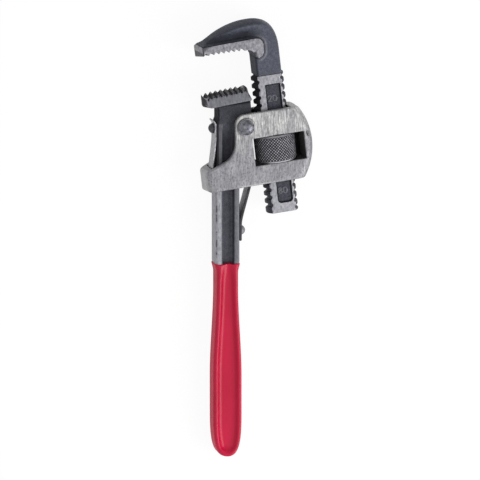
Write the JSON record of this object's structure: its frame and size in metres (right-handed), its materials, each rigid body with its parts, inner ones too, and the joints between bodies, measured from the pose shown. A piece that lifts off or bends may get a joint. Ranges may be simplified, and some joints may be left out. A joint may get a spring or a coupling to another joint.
{
  "type": "pipe wrench",
  "caption": "Adjustable pipe wrench: a toothed hook jaw, moved by a knurled nut in a rocking frame, closes on a toothed heel jaw on a dipped handle.",
  "frame": {"origin": "axis of the frame rivet, on the back face of the frame", "axes": "+Y along the handle towards the head, +X from the jaw opening to the back of the hook, +Z out of the front face"},
  "size_m": [0.0739, 0.2826, 0.0266],
  "materials": {
    "handle_paint": "thin dark grey paint on forged steel, with bare ground faces",
    "grip_dip": "glossy red vinyl dip",
    "hook_paint": "satin blue-grey paint on forged steel, with bare ground faces",
    "frame_steel": "coarsely ground forged steel",
    "nut_steel": "darkened steel with a diamond knurl",
    "rivet_steel": "hammered, lightly polished steel",
    "spring_steel": "bright rolled spring steel"
  },
  "bodies": {
    "handle": {"handle_bar": "handle_paint", "grip_coating": "grip_dip", "front_leaf_spring": "spring_steel", "front_spring_rivet": "rivet_steel", "back_leaf_spring": "spring_steel", "back_spring_rivet": "rivet_steel"},
    "frame": {"frame_housing": "frame_steel", "frame_rivet": "rivet_steel"},
    "hook_jaw": {"hook_jaw": "hook_paint"},
    "nut": {"adjusting_nut": "nut_steel"}
  },
  "joints": [
    {"name": "frame_pivot", "type": "hinge", "parent": "handle", "child": "frame", "pos_m": [0, 0, 0], "axis": [0, 0, 1], "range_deg": [-6, 2], "stiffness_Nm_per_rad": 4, "deforming": ["front_leaf_spring", "back_leaf_spring"]},
    {"name": "jaw_slide", "type": "slide", "parent": "frame", "child": "hook_jaw", "axis": [-0.1149, 0.9934, 0], "range_m": [-0.021, 0.02]},
    {"name": "nut_spin", "type": "hinge", "parent": "frame", "child": "nut", "pos_m": [0.02123, -0.01466, 0.011], "axis": [-0.1149, 0.9934, 0], "range_deg": [-1520, 1520]}
  ],
  "couplings": [
    {"joint": "nut_spin", "follows": "jaw_slide", "rad_per_m": -1256.6}
  ]
}
